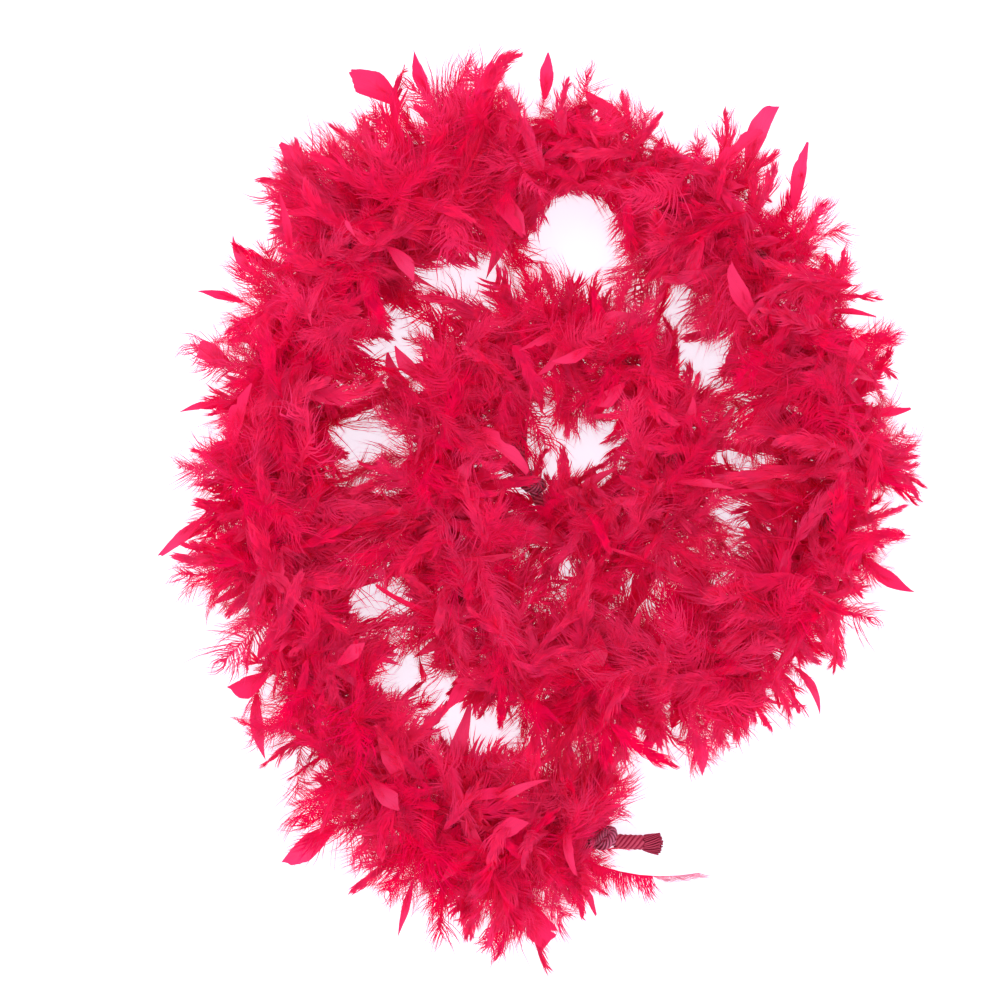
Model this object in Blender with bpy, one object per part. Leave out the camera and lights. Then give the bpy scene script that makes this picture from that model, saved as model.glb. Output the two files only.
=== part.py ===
"""Feather boa laid in a loose flat spiral: a twisted yarn cord that grips feathers all along it.

Metres, +Z up.  The boa lies on Z = 0 and the spiral opens anticlockwise, seen from above,
from the bare inner end near the middle to the bare outer end at the front.
"""
import math

import bmesh
import bpy
import numpy as np

# ---- driving dimensions (metres) ----
CORD_DIAMETER = 0.008          # twisted yarn cord that holds every feather
CORD_HEIGHT = 0.030            # cord centre above the table, held up by the down
END_HEIGHT = 0.0095            # cord centre at the two bare ends, which lie on the table
DIP_LENGTH = 0.078             # stretch over which the cord comes down to a bare end

KNOT_DIAMETER = 0.016          # overhand knot that locks the feathers in
KNOT_LENGTH = 0.020
KNOT_LUMP = 0.10               # height of its strand lumps, share of its radius
STUB_LENGTH = 0.016            # bare cord past a knot
FLARE_LENGTH = 0.013           # the cut end, which springs open
FLARE_DIAMETER = 0.014

PLUME_HEIGHT = 0.075           # top of the plumage above the table
PLUME_REST = 0.030             # height of the plumage's widest line
INNER_START_HALF_WIDTH = 0.026
INNER_HALF_WIDTH = 0.040
OUTER_HALF_WIDTH = 0.047
OUTER_END_HALF_WIDTH = 0.038
WIDEN_RUN = 0.17               # from the inner knot, over which the plumage first widens
WIDER_FROM, WIDER_TO = 0.60, 0.72   # along the cord, where it widens to the outer turn's
NARROW_RUN = 0.10              # before the outer knot, over which it narrows
PLUME_END_SHARE = 0.42         # a plume's end, share of its full width
PLUME_TAPER = 0.013            # length over which a plume swells to full width
PLUME_GAP = 0.0032             # between two plumes, where one feather's quill can pass
HINGE_GAP = 0.017              # between two plumes that turn against each other
COIL_PLUMES = 17               # plumes on the stretch that stays coiled
LINK_PLUMES = 2                # plumes on each link of the tail
STATION_SPACING = 0.024        # straight runs of cord between the route's stations

FEATHER_THICKNESS = 0.0011
QUILL_WIDTH = 0.0016
QUILL_FLARE = 1.8              # the quill's widening where it meets the blade
BLADE_WIDTH = 0.013
BLADE_START_SHARE = 1.02       # of the plumage's half width, where the blade opens
BLADE_STEPS = 6

CLEARANCE = 0.0003             # between pieces that touch
BORE_CLEARANCE = 0.0010        # between the cord and the plumage around it
PLUME_SIDES = 12
KNOT_SEGMENTS, KNOT_RINGS = 14, 9
FLARE_SIDES = 14
LOOK_STEP = 0.004              # either side of a place, to read the cord's direction there
CAP_ANGLES = (35, 62, 85)      # rings of the half ball on a cord's end, degrees
END_MARGIN, CAP_MARGIN = 0.004, 0.002   # kept clear of stations by a cord's two ends

# The cord's route over the table, inner end first, chosen by hand.
ROUTE = [
    (-0.0132, 0.0484), (-0.0106, 0.0316), (-0.0081, 0.0155), (0.0003, 0.0026),
    (0.0100, -0.0148), (0.0281, -0.0297), (0.0519, -0.0303), (0.0745, -0.0148),
    (0.0868, 0.0161), (0.0822, 0.0561), (0.0571, 0.0858), (0.0164, 0.0987),
    (-0.0235, 0.0909), (-0.0513, 0.0626), (-0.0622, 0.0187), (-0.0590, -0.0316),
    (-0.0377, -0.0793), (0.0023, -0.1116), (0.0526, -0.1232), (0.1055, -0.1142),
    (0.1493, -0.0858), (0.1796, -0.0393), (0.1977, 0.0155), (0.1945, 0.0735),
    (0.1712, 0.1271), (0.1325, 0.1683), (0.0874, 0.1993), (0.0358, 0.2212),
    (-0.0171, 0.2199), (-0.0687, 0.2025), (-0.1126, 0.1703), (-0.1448, 0.1219),
    (-0.1648, 0.0671), (-0.1719, 0.0123), (-0.1667, -0.0458), (-0.1493, -0.1019),
    (-0.1203, -0.1554), (-0.0784, -0.1987), (-0.0300, -0.2219), (0.0152, -0.2264),
    (0.0526, -0.2244), (0.0835, -0.2264),
]
# Where the outer tail bends, measured back along the cord from the outer cut end.
TAIL_BENDS = [0.414, 0.321, 0.228, 0.135]

# Single feathers that stand well clear of the plumage: gap between plumes that the quill
# leaves by, side (1 outward, -1 inward), reach past the plumage, sweep in degrees, rise.
FEATHERS = [
    (3, 1, 0.016, 20, 0.010), (4, 1, 0.011, -30, 0.012), (6, 1, 0.015, 25, 0.006),
    (7, -1, 0.012, -20, 0.014), (8, 1, 0.018, 30, 0.004), (9, 1, 0.020, 30, -0.010),
    (11, 1, 0.016, 25, 0.004), (12, 1, 0.016, 30, -0.006), (13, 1, 0.022, -15, 0.008),
    (11, -1, 0.012, 20, 0.004), (14, -1, 0.014, 30, 0.006), (14, 1, 0.0375, 15, 0.002),
    (15, 1, 0.024, -25, -0.008), (15, -1, 0.012, 25, 0.010), (16, 1, 0.021, 30, 0.004),
    (12, -1, 0.014, 20, 0.012), (18, 1, 0.033, -20, -0.006), (20, 1, 0.024, 25, 0.006),
    (20, -1, 0.014, 20, 0.010), (22, 1, 0.028, -20, -0.004), (24, 1, 0.026, 15, -0.008),
]

COLOURS = {
    "cord": (0.20, 0.004, 0.030), "knot": (0.26, 0.010, 0.045),
    "plume": (0.70, 0.006, 0.055), "feather": (0.78, 0.020, 0.075),
}


def clear_scene():
    for old in list(bpy.data.objects):
        bpy.data.objects.remove(old, do_unlink=True)


def make_material(name, colour, roughness):
    material = bpy.data.materials.new(name)
    material.use_nodes = True
    shader = material.node_tree.nodes["Principled BSDF"]
    shader.inputs["Base Color"].default_value = (*colour, 1.0)
    shader.inputs["Roughness"].default_value = roughness
    shader.inputs["Metallic"].default_value = 0.0
    return material


def add_mesh(name, verts, faces, colour, roughness=0.9):
    mesh = bpy.data.meshes.new(name)
    mesh.from_pydata([tuple(v) for v in verts], [], faces)
    mesh.validate()
    work = bmesh.new()
    work.from_mesh(mesh)
    bmesh.ops.recalc_face_normals(work, faces=work.faces)
    work.to_mesh(mesh)
    work.free()
    mesh.shade_smooth()
    mesh.set_sharp_from_angle(angle=math.radians(40))
    item = bpy.data.objects.new(name, mesh)
    bpy.context.scene.collection.objects.link(item)
    mesh.materials.append(make_material(name + "_finish", colour, roughness))
    return item


# ---- the cord's centreline ----
class Route:
    """A smooth curve through the route's points, read by distance along it."""

    STEPS = 24

    def __init__(self, points):
        ends = [2 * np.array(points[0]) - points[1], 2 * np.array(points[-1]) - points[-2]]
        knots = np.array([ends[0], *points, ends[1]], float)
        curve = []
        for a, b, c, d in zip(knots, knots[1:], knots[2:], knots[3:]):
            for t in np.arange(self.STEPS) / self.STEPS:
                curve.append(0.5 * (2 * b + (c - a) * t + (2 * a - 5 * b + 4 * c - d) * t ** 2
                                    + (3 * b - a - 3 * c + d) * t ** 3))
        curve.append(knots[-2])
        self.plan = np.array(curve)
        steps = np.linalg.norm(np.diff(self.plan, axis=0), axis=1)
        self.run = np.concatenate([[0.0], np.cumsum(steps)])
        self.length = self.run[-1]

    def height(self, s):
        inner = (s - INNER_KNOT_AT) / DIP_LENGTH
        outer = (self.length - OUTER_KNOT_BACK - s) / DIP_LENGTH
        t = min(max(min(inner, outer), 0.0), 1.0)
        return END_HEIGHT + (CORD_HEIGHT - END_HEIGHT) * t * t * (3 - 2 * t)

    def at(self, s):
        return np.array([np.interp(s, self.run, self.plan[:, 0]),
                         np.interp(s, self.run, self.plan[:, 1]), self.height(s)])


INNER_KNOT_AT = FLARE_LENGTH + STUB_LENGTH + KNOT_LENGTH / 2 + 2 * CLEARANCE
OUTER_KNOT_BACK = INNER_KNOT_AT
route = Route(ROUTE)

PLUMES_START = INNER_KNOT_AT + KNOT_LENGTH / 2 + 2 * CLEARANCE
PLUMES_END = route.length - OUTER_KNOT_BACK - KNOT_LENGTH / 2 - 2 * CLEARANCE
bends = [route.length - back for back in TAIL_BENDS]


def shares(first, last, count):
    return [first + (last - first) * k / count for k in range(count)]


# plume borders along the cord: equal shares of the coil, of each tail link and the tip
borders = shares(PLUMES_START, bends[0], COIL_PLUMES)
for first, last in zip(bends, [*bends[1:], PLUMES_END]):
    borders += shares(first, last, LINK_PLUMES)
borders.append(PLUMES_END)
stations = [borders[0]]
for first, last in zip(borders, borders[1:]):
    runs = max(2, round((last - first) / STATION_SPACING))
    stations += shares(first, last, runs)[1:] + [last]
station_points = np.array([route.at(s) for s in stations])


def on_cord(s):
    """The cord's centre at distance s, on the straight runs between its stations."""
    return np.array([np.interp(s, stations, station_points[:, k]) for k in range(3)])


def frame_at(s):
    """Unit vectors along the cord, level across it to the spiral's outside, and up from it."""
    along = (route.at(min(s + LOOK_STEP, route.length)) - route.at(max(s - LOOK_STEP, 0.0)))
    along = along / np.linalg.norm(along)
    across = np.array([along[1], -along[0], 0.0])
    across = across / np.linalg.norm(across)
    return along, across, np.cross(across, along)


def half_width(s):
    """Half the plumage's width at distance s along the cord."""
    places = [PLUMES_START, PLUMES_START + WIDEN_RUN, WIDER_FROM, WIDER_TO,
              PLUMES_END - NARROW_RUN, PLUMES_END]
    widths = [INNER_START_HALF_WIDTH, INNER_HALF_WIDTH, INNER_HALF_WIDTH, OUTER_HALF_WIDTH,
              OUTER_HALF_WIDTH, OUTER_END_HALF_WIDTH]
    return float(np.interp(s, places, widths))


# ---- plumes: soft sleeves of feathers around the cord ----
def plume_ring(s, share):
    """Outer ring, flat where it lies on the table, and the bore for the cord."""
    centre, side = on_cord(s), frame_at(s)[1]
    wide = half_width(s) * share
    tall = (PLUME_HEIGHT - PLUME_REST) * share
    outer, bore = [], []
    radius = CORD_DIAMETER / 2 + BORE_CLEARANCE
    for k in range(PLUME_SIDES):
        angle = 2 * math.pi * (k + 0.5) / PLUME_SIDES
        height = max(PLUME_REST + tall * math.sin(angle), 0.0)
        outer.append((*(centre + side * wide * math.cos(angle))[:2], height))
        reach = side * radius * math.cos(angle)
        bore.append(centre + reach + np.array([0.0, 0.0, radius * math.sin(angle)]))
    return outer, bore


def add_plume(index, first, last, first_gap, last_gap):
    start, end = first + first_gap / 2, last - last_gap / 2
    places = [(start, PLUME_END_SHARE), (start + PLUME_TAPER, 1.0)]
    places += [(s, 1.0) for s in stations if start + PLUME_TAPER < s < end - PLUME_TAPER]
    places += [(end - PLUME_TAPER, 1.0), (end, PLUME_END_SHARE)]
    verts, count = [], PLUME_SIDES
    for s, share in places:
        outer, bore = plume_ring(s, share)
        verts += outer + bore
    faces = []
    for row in range(len(places) - 1):
        near, far = row * 2 * count, (row + 1) * 2 * count
        for k in range(count):
            n = (k + 1) % count
            faces.append((near + k, near + n, far + n, far + k))
            faces.append((near + count + n, near + count + k, far + count + k, far + count + n))
    tail = (len(places) - 1) * 2 * count
    for k in range(count):
        n = (k + 1) % count
        faces.append((n, k, count + k, count + n))
        faces.append((tail + k, tail + n, tail + count + n, tail + count + k))
    return add_mesh(f"plume_{index:02d}", verts, faces, COLOURS["plume"], 0.95)


# ---- cord ----
def add_cord(name, points, radii):
    curve = bpy.data.curves.new(name, "CURVE")
    curve.dimensions = "3D"
    curve.resolution_u = 1
    curve.render_resolution_u = 0
    curve.bevel_depth = CORD_DIAMETER / 2
    curve.bevel_resolution = 3
    curve.use_fill_caps = True
    spline = curve.splines.new("POLY")
    spline.points.add(len(points) - 1)
    for knot, place, share in zip(spline.points, points, radii):
        knot.co = (*place, 1.0)
        knot.radius = share
    item = bpy.data.objects.new(name, curve)
    bpy.context.scene.collection.objects.link(item)
    curve.materials.append(make_material(name + "_finish", COLOURS["cord"], 0.85))
    return item


def cord_run(name, first, last, rounded):
    """The cord from first to last; a rounded end is a half ball centred on last."""
    inside = [s for s in stations if first + END_MARGIN < s < last - CAP_MARGIN]
    points = [on_cord(s) for s in [first, *inside, last]]
    radii = [1.0] * len(points)
    if rounded:
        radius = CORD_DIAMETER / 2
        along = points[-1] - points[-2]
        along = along / np.linalg.norm(along)
        for degrees in CAP_ANGLES:
            turn = math.radians(degrees)
            points.append(on_cord(last) + along * radius * math.sin(turn))
            radii.append(math.cos(turn))
    return add_cord(name, points, radii)


# ---- knots and cut ends ----
def add_knot(name, s):
    along, across, up = frame_at(s)
    work = bmesh.new()
    bmesh.ops.create_uvsphere(work, u_segments=KNOT_SEGMENTS, v_segments=KNOT_RINGS,
                              radius=1.0)
    for vert in work.verts:
        x, y, z = vert.co.z, vert.co.x, vert.co.y
        lump = 1 + KNOT_LUMP * math.sin(3 * math.atan2(z, y) + 2.4 * x)
        place = route.at(s) + along * x * KNOT_LENGTH / 2
        place += (across * y + up * z) * lump / (1 + KNOT_LUMP) * KNOT_DIAMETER / 2
        vert.co = place
    verts = [tuple(v.co) for v in work.verts]
    faces = [[v.index for v in f.verts] for f in work.faces]
    work.free()
    return add_mesh(name, verts, faces, COLOURS["knot"])


def add_end(prefix, knot_at, outward):
    """Knot, bare stub and flared cut end; outward is the way along the cord to the end."""
    add_knot(prefix + "_knot", knot_at)
    start = knot_at + outward * (KNOT_LENGTH / 2 + CLEARANCE)
    finish = start + outward * STUB_LENGTH
    add_cord(prefix + "_stub", [route.at(s) for s in np.linspace(start, finish, 3)], [1.0] * 3)
    count, verts, faces = FLARE_SIDES, [], []
    lip = finish + outward * CLEARANCE
    profile = [(0.0, CORD_DIAMETER), (0.45, 0.75 * FLARE_DIAMETER), (0.8, FLARE_DIAMETER),
               (1.0, 0.9 * FLARE_DIAMETER)]
    along, across, up = frame_at(finish)
    for share, width in profile:
        centre = route.at(lip) + along * outward * share * (FLARE_LENGTH - CLEARANCE)
        for k in range(count):
            angle = 2 * math.pi * k / count
            verts.append(centre + (across * math.cos(angle) + up * math.sin(angle)) * width / 2)
    for row in range(len(profile) - 1):
        for k in range(count):
            n = (k + 1) % count
            faces.append((row * count + k, row * count + n, (row + 1) * count + n,
                          (row + 1) * count + k))
    last = (len(profile) - 1) * count
    faces += [tuple(range(count)), tuple(range(last, last + count))]
    add_mesh(prefix + "_cut_end", verts, faces, COLOURS["knot"])


# ---- single feathers ----
def add_feather(index, border, side, past, sweep, rise):
    """A thin blade whose quill leaves the cord through the gap between two plumes."""
    s = borders[border]
    root, out = on_cord(s), frame_at(s)[1] * side
    along = np.array([-out[1], out[0], 0.0])
    start = CORD_DIAMETER / 2 + CLEARANCE
    clear = half_width(s) * BLADE_START_SHARE
    reach = half_width(s) + past
    places = [(start + (clear - start) * t, 0.0) for t in (0.0, 0.5, 1.0)]
    widths = [QUILL_WIDTH, QUILL_WIDTH, QUILL_WIDTH * QUILL_FLARE]
    span = (reach - clear) / BLADE_STEPS
    for k in range(1, BLADE_STEPS + 1):
        turn = math.radians(sweep) * k / BLADE_STEPS
        dist, drift = places[-1]
        places.append((dist + span * math.cos(turn), drift + span * math.sin(turn)))
        widths.append(BLADE_WIDTH * math.sin(math.pi * (0.30 + 0.66 * k / BLADE_STEPS)) ** 0.8)
    verts, faces = [], []
    for (dist, drift), width in zip(places, widths):
        t = max((dist - clear) / (reach - clear), 0.0)
        lift = np.array([0.0, 0.0, rise * t])
        centre = root + out * dist + along * drift + lift
        edge = along * width / 2
        up = np.array([0.0, 0.0, FEATHER_THICKNESS / 2])
        verts += [centre + edge, centre + up, centre - edge, centre - up]
    for row in range(len(places) - 1):
        for k in range(4):
            n = (k + 1) % 4
            faces.append((row * 4 + k, row * 4 + n, row * 4 + 4 + n, row * 4 + 4 + k))
    last = (len(places) - 1) * 4
    faces += [(0, 1, 2, 3), (last, last + 1, last + 2, last + 3)]
    return add_mesh(f"feather_{index:02d}", verts, faces, COLOURS["feather"], 0.8)


clear_scene()

for number, (first, last) in enumerate(zip(borders, borders[1:]), start=1):
    first_gap = HINGE_GAP if first in bends else PLUME_GAP
    last_gap = HINGE_GAP if last in bends else PLUME_GAP
    add_plume(number, first, last, first_gap, last_gap)

link_names = ["cord_coil", "cord_tail_1", "cord_tail_2", "cord_tail_3", "cord_tip"]
link_ends = [PLUMES_START, *bends, PLUMES_END]
for number, name in enumerate(link_names):
    # past a bend the next run of cord starts flat, just clear of the half ball
    begin = link_ends[number] + (CORD_DIAMETER / 2 + CLEARANCE if number else 0.0)
    cord_run(name, begin, link_ends[number + 1], rounded=number < len(bends))

add_end("inner", INNER_KNOT_AT, -1)
add_end("outer", route.length - OUTER_KNOT_BACK, 1)

for number, feather in enumerate(FEATHERS, start=1):
    add_feather(number, *feather)
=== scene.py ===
"""Looks of the feather boa: twisted yarn, down plumage, flat feathers, knots and cut ends."""
import math

import bmesh
import bpy
import numpy as np
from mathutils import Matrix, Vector


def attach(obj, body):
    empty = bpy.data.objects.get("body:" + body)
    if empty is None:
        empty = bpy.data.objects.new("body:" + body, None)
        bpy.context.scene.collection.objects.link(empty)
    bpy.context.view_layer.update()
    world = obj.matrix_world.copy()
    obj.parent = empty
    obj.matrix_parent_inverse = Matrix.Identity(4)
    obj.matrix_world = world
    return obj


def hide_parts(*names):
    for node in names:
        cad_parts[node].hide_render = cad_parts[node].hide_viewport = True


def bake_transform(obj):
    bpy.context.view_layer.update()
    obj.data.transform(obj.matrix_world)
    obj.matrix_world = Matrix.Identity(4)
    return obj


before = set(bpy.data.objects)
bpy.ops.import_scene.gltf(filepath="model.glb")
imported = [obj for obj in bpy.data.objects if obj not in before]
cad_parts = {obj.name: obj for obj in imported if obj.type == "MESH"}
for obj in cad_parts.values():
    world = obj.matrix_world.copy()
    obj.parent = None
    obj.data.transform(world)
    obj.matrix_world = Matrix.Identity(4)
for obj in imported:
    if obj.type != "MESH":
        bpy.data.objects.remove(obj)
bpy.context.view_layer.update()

# ---- sizes (metres) ----
CORD_DIAMETER = 0.008
CORD_HEIGHT = 0.030                        # its middle above the table, inside the plumage
END_HEIGHT = 0.0095                        # and at its bare ends
DIP_LENGTH = 0.078                         # length over which it comes down to them
KNOT_LENGTH = 0.020
STUB_LENGTH = 0.016
FLARE_LENGTH = 0.013
FLARE_DIAMETER = 0.014
CLEARANCE = 0.0003                         # between pieces that follow each other
TAIL_BENDS = [0.414, 0.321, 0.228, 0.135]   # back along the cord from the outer cut end
COIL_PLUMES = 17                           # plumes on the coil
LINK_PLUMES = 2                            # and on each length of the tail

# The cord's route over the table, inner end first.
ROUTE = [
    (-0.0132, 0.0484), (-0.0106, 0.0316), (-0.0081, 0.0155), (0.0003, 0.0026),
    (0.0100, -0.0148), (0.0281, -0.0297), (0.0519, -0.0303), (0.0745, -0.0148),
    (0.0868, 0.0161), (0.0822, 0.0561), (0.0571, 0.0858), (0.0164, 0.0987),
    (-0.0235, 0.0909), (-0.0513, 0.0626), (-0.0622, 0.0187), (-0.0590, -0.0316),
    (-0.0377, -0.0793), (0.0023, -0.1116), (0.0526, -0.1232), (0.1055, -0.1142),
    (0.1493, -0.0858), (0.1796, -0.0393), (0.1977, 0.0155), (0.1945, 0.0735),
    (0.1712, 0.1271), (0.1325, 0.1683), (0.0874, 0.1993), (0.0358, 0.2212),
    (-0.0171, 0.2199), (-0.0687, 0.2025), (-0.1126, 0.1703), (-0.1448, 0.1219),
    (-0.1648, 0.0671), (-0.1719, 0.0123), (-0.1667, -0.0458), (-0.1493, -0.1019),
    (-0.1203, -0.1554), (-0.0784, -0.1987), (-0.0300, -0.2219), (0.0152, -0.2264),
    (0.0526, -0.2244), (0.0835, -0.2264),
]
UP = np.array([0.0, 0.0, 1.0])


# ---- the cord's centreline ----
def smooth_plan(points, steps=24):
    """A smooth curve through the route's points, as closely spaced points."""
    ends = [2 * np.array(points[0]) - points[1], 2 * np.array(points[-1]) - points[-2]]
    knots = np.array([ends[0], *points, ends[1]], float)
    t = (np.arange(steps) / steps)[:, None]
    curve = [0.5 * (2 * b + (c - a) * t + (2 * a - 5 * b + 4 * c - d) * t ** 2
                    + (3 * b - a - 3 * c + d) * t ** 3)
             for a, b, c, d in zip(knots, knots[1:], knots[2:], knots[3:])]
    return np.vstack([*curve, knots[-2:-1]])


def distances(path):
    """How far along a path each of its points lies."""
    return np.concatenate([[0.0], np.cumsum(np.linalg.norm(np.diff(path, axis=0), axis=1))])


plan = smooth_plan(ROUTE)
run = distances(plan)
LENGTH = float(run[-1])
KNOT_BACK = FLARE_LENGTH + STUB_LENGTH + KNOT_LENGTH / 2 + 2 * CLEARANCE
PLUMES_START = KNOT_BACK + KNOT_LENGTH / 2 + 2 * CLEARANCE
PLUMES_END = LENGTH - PLUMES_START


def cord_at(s):
    """Centre of the cord at distances s from the inner end."""
    s = np.asarray(s, float)
    t = np.clip(np.minimum(s - KNOT_BACK, LENGTH - KNOT_BACK - s) / DIP_LENGTH, 0, 1)
    height = END_HEIGHT + (CORD_HEIGHT - END_HEIGHT) * t * t * (3 - 2 * t)
    return np.stack([np.interp(s, run, plan[:, 0]), np.interp(s, run, plan[:, 1]), height], -1)


def cord_frame(s):
    """Unit vectors along the cord, across it to the spiral's outside, and up from it."""
    step = 0.004
    along = cord_at(min(s + step, LENGTH)) - cord_at(max(s - step, 0.0))
    along /= np.linalg.norm(along)
    out = np.array([along[1], -along[0], 0.0])
    out /= np.linalg.norm(out)
    return along, out, np.cross(out, along)


def shares(first, last, count):
    """Where count equal lengths between two distances start."""
    return [first + (last - first) * k / count for k in range(count)]


bends = [LENGTH - back for back in TAIL_BENDS]
borders = shares(PLUMES_START, bends[0], COIL_PLUMES)
for first, last in zip(bends, [*bends[1:], PLUMES_END]):
    borders += shares(first, last, LINK_PLUMES)
borders.append(PLUMES_END)


# ---- colours and materials ----
def colour(text):
    """An sRGB hex colour as linear RGBA."""
    parts = [int(text[k:k + 2], 16) / 255 for k in (0, 2, 4)]
    return (*[c / 12.92 if c <= 0.04045 else ((c + 0.055) / 1.055) ** 2.4 for c in parts], 1.0)


def add_node(tree, kind, links=(), **settings):
    """Adds a node; links are (its input, a value, a node's output or a node for its first)."""
    node = tree.nodes.new("ShaderNode" + kind)
    for key, value in settings.items():
        setattr(node, key, value)
    for socket, value in links:
        if isinstance(value, bpy.types.Node):
            value = value.outputs[0]
        if isinstance(value, bpy.types.NodeSocket):
            tree.links.new(value, node.inputs[socket])
        else:
            node.inputs[socket].default_value = value
    return node


def set_ramp(node, stops):
    """Gives a colour ramp its stops, each a place and a hex colour."""
    ramp = node.color_ramp
    while len(ramp.elements) > 1:
        ramp.elements.remove(ramp.elements[-1])
    ramp.elements[0].position, ramp.elements[0].color = stops[0][0], colour(stops[0][1])
    for place, text in stops[1:]:
        ramp.elements.new(place).color = colour(text)


def new_material(name):
    """An empty material and its node tree."""
    material = bpy.data.materials.new(name)
    material.use_nodes = True
    tree = material.node_tree
    tree.nodes.clear()
    return material, tree


UV_MAP = "OFBake"  # every piece is coloured from this map alone
TONES = 8          # shades of dye, one to a feather, side by side on the map


def feather_material(name, root, low, high, tip, stripes, lines, through, sheen):
    """Dyed feather.  U holds the shade in TONES bands, and the place across the feather
    inside a band; V runs from the quill to the tips."""
    material, tree = new_material(name)
    uv = add_node(tree, "UVMap", uv_map=UV_MAP)
    axes = add_node(tree, "SeparateXYZ", [("Vector", uv.outputs["UV"])])
    banded = add_node(tree, "Math", [(0, axes.outputs["X"]), (1, float(TONES))],
                      operation="MULTIPLY")
    band = add_node(tree, "Math", [(0, banded)], operation="FLOOR")
    shade = add_node(tree, "Math", [(0, band), (1, 1.0 / (TONES - 1))],
                     operation="MULTIPLY")
    across = add_node(tree, "Math", [(0, banded)], operation="FRACT")
    dye = add_node(tree, "ValToRGB", [("Fac", shade)])
    set_ramp(dye, [(0.0, low), (1.0, high)])
    # painted shade: the colour is deepest by the quill, where the plumage shades itself, and
    # palest where single barbs end
    along = add_node(tree, "MapRange",
                     [("Value", axes.outputs["Y"]), ("From Min", 0.05), ("From Max", 0.55)])
    quill_shaded = add_node(tree, "Mix",
                      [("Factor", along), ("A", colour(root)),
                       ("B", dye.outputs["Color"])], data_type="RGBA")
    tips = add_node(tree, "MapRange",
                    [("Value", axes.outputs["Y"]), ("From Min", 0.72), ("From Max", 1.0),
                     ("To Max", 0.75)])
    tipped = add_node(tree, "Mix",
                      [("Factor", tips), ("A", quill_shaded.outputs["Result"]),
                       ("B", colour(tip))], data_type="RGBA")
    # barbs lie side by side, swept towards the tip on both sides of the quill
    middle = add_node(tree, "Math", [(0, across), (1, 0.5)],
                      operation="SUBTRACT")
    side = add_node(tree, "Math", [(0, middle)], operation="ABSOLUTE")
    swept = add_node(tree, "Math",
                     [(0, side), (1, -0.9), (2, axes.outputs["Y"])],
                     operation="MULTIPLY_ADD")
    place = add_node(tree, "CombineXYZ",
                     [("X", swept), ("Y", side), ("Z", shade)])
    scaled = add_node(tree, "VectorMath",
                      [(0, place), (1, (lines, 1.6, 9.0))], operation="MULTIPLY")
    grain = add_node(tree, "TexNoise",
                     [("Vector", scaled), ("Scale", 1.0), ("Detail", 2.0)])
    streak = add_node(tree, "MapRange",
                      [("Value", grain.outputs["Fac"]), ("From Min", 0.32), ("From Max", 0.68),
                       ("To Min", 1.0 - stripes), ("To Max", 1.0 + 0.5 * stripes)])
    toned = add_node(tree, "VectorMath",
                     [(0, tipped.outputs["Result"]), ("Scale", streak)],
                     operation="SCALE")
    fibre = add_node(tree, "BsdfPrincipled",
                     [("Base Color", toned), ("Roughness", 0.75),
                      ("Specular IOR Level", 0.06), ("Sheen Weight", sheen),
                      ("Sheen Roughness", 0.5), ("Sheen Tint", colour("ff3c70"))])
    glow = add_node(tree, "BsdfTranslucent", [("Color", toned)])
    both = add_node(tree, "MixShader",
                    [(0, through), (1, fibre), (2, glow)])
    add_node(tree, "OutputMaterial", [("Surface", both)])
    return material


def yarn_material(name, groove_shade, light, shine):
    """Twisted yarn: U runs round a strand from its hidden side, V along it and back."""
    material, tree = new_material(name)
    uv = add_node(tree, "UVMap", uv_map=UV_MAP)
    axes = add_node(tree, "SeparateXYZ", [("Vector", uv.outputs["UV"])])
    fibre_place = add_node(tree, "VectorMath",
                           [(0, uv.outputs["UV"]), (1, (9.0, 5.0, 1.0))], operation="MULTIPLY")
    fibre = add_node(tree, "TexNoise",
                     [("Vector", fibre_place), ("Scale", 1.4), ("Detail", 3.0)])
    # painted shade and highlight: each strand is deep in the grooves between strands, where
    # shade falls, and pale along its outer crest, where light falls; noise adds the fibre's own
    # uneven tone
    middle = add_node(tree, "Math", [(0, axes.outputs["X"]), (1, 0.5)],
                      operation="SUBTRACT")
    side = add_node(tree, "Math", [(0, middle)], operation="ABSOLUTE")
    outer = add_node(tree, "MapRange",
                     [("Value", side), ("From Min", 0.13), ("From Max", 0.02)])
    fibre_tone = add_node(tree, "Math",
                      [(0, fibre.outputs["Fac"]), (1, 0.9), (2, -0.25)],
                      operation="MULTIPLY_ADD")
    both = add_node(tree, "Math", [(0, outer), (1, fibre_tone)],
                    operation="ADD")
    dye = add_node(tree, "ValToRGB", [("Fac", both)])
    set_ramp(dye, [(0.25, groove_shade), (1.05, light)])
    shader = add_node(tree, "BsdfPrincipled",
                      [("Base Color", dye.outputs["Color"]), ("Roughness", 0.7 - 0.4 * shine),
                       ("Specular IOR Level", 0.15 + shine)])
    add_node(tree, "OutputMaterial", [("Surface", shader)])
    return material


# root is painted shade in each feather material: a deeper colour by the quill, where the plumage
# shades itself.
# Marabou down of a dyed turkey flat: soft, matt, lets much light through.
down = feather_material("dyed_marabou_down", root="ee0050", low="f80460", high="f63c7c",
                        tip="f65288", stripes=0.16, lines=26.0, through=0.55, sheen=0.04)
# The flat vane of the same feather: barbs hooked together, satin and a little paler.
vane = feather_material("dyed_feather_vane", root="ec0450", low="ee1c5c", high="f03c72",
                        tip="ee2e68", stripes=0.10, lines=40.0, through=0.30, sheen=0.04)
# The worn feather by the outer knot has lost most of its dye and lets the table show.
worn = feather_material("worn_pale_feather", root="e8507a", low="ec7c9c", high="f09cb4",
                        tip="f6c4d2", stripes=0.20, lines=26.0, through=0.60, sheen=0.0)
# Cotton yarn dyed maroon; its deep colour is painted shade in the grooves, its light one a
# painted highlight on each strand's crest.
yarn = yarn_material("twisted_maroon_yarn", groove_shade="8c1638", light="b8445f", shine=0.0)
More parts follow.
